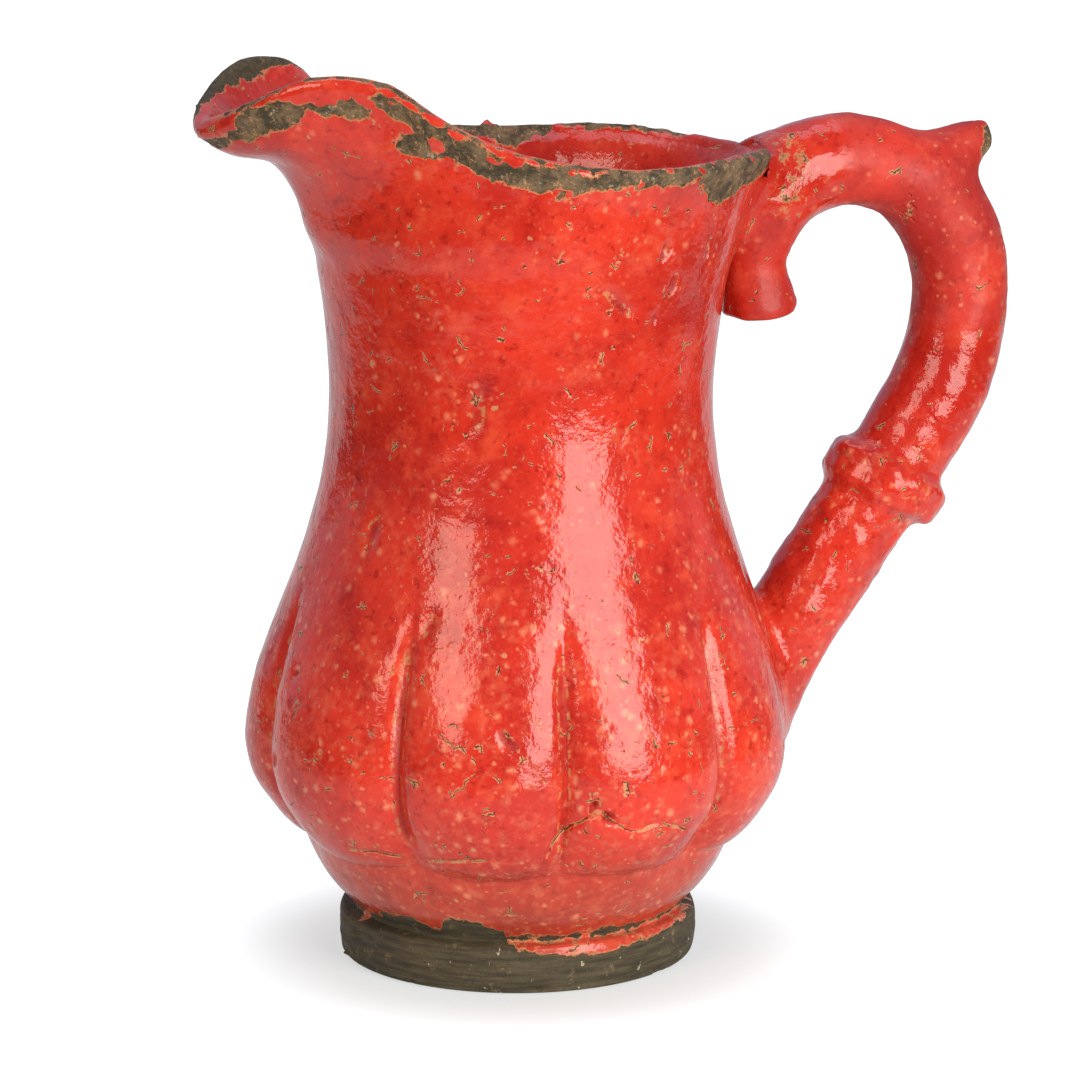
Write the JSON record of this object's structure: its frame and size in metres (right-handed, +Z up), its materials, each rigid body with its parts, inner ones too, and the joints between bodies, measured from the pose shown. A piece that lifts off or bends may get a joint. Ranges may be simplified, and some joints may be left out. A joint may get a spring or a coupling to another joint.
{
  "type": "pitcher",
  "caption": "Handmade red-glazed stoneware pitcher with a lobed belly, tall waisted neck, broad pouring lip and a branch-like loop handle on a bare clay foot.",
  "frame": {"origin": "centre of the foot's standing plane, on the vessel's axis", "axes": "+Z up the vessel's axis, +X towards the handle, spout towards -X"},
  "size_m": [0.2216, 0.1444, 0.2387],
  "materials": {
    "red_glaze": "gloss glaze with pinholes and crawl marks",
    "bare_clay": "dry unglazed dark stoneware"
  },
  "bodies": {
    "root": {"foot_ring": "bare_clay", "base_cup": "red_glaze", "lobed_belly": "red_glaze", "neck": "red_glaze", "handle": "red_glaze", "handle_collar": "red_glaze", "handle_spur": "red_glaze", "upper_lute": "red_glaze", "lower_lute": "red_glaze"}
  },
  "joints": []
}
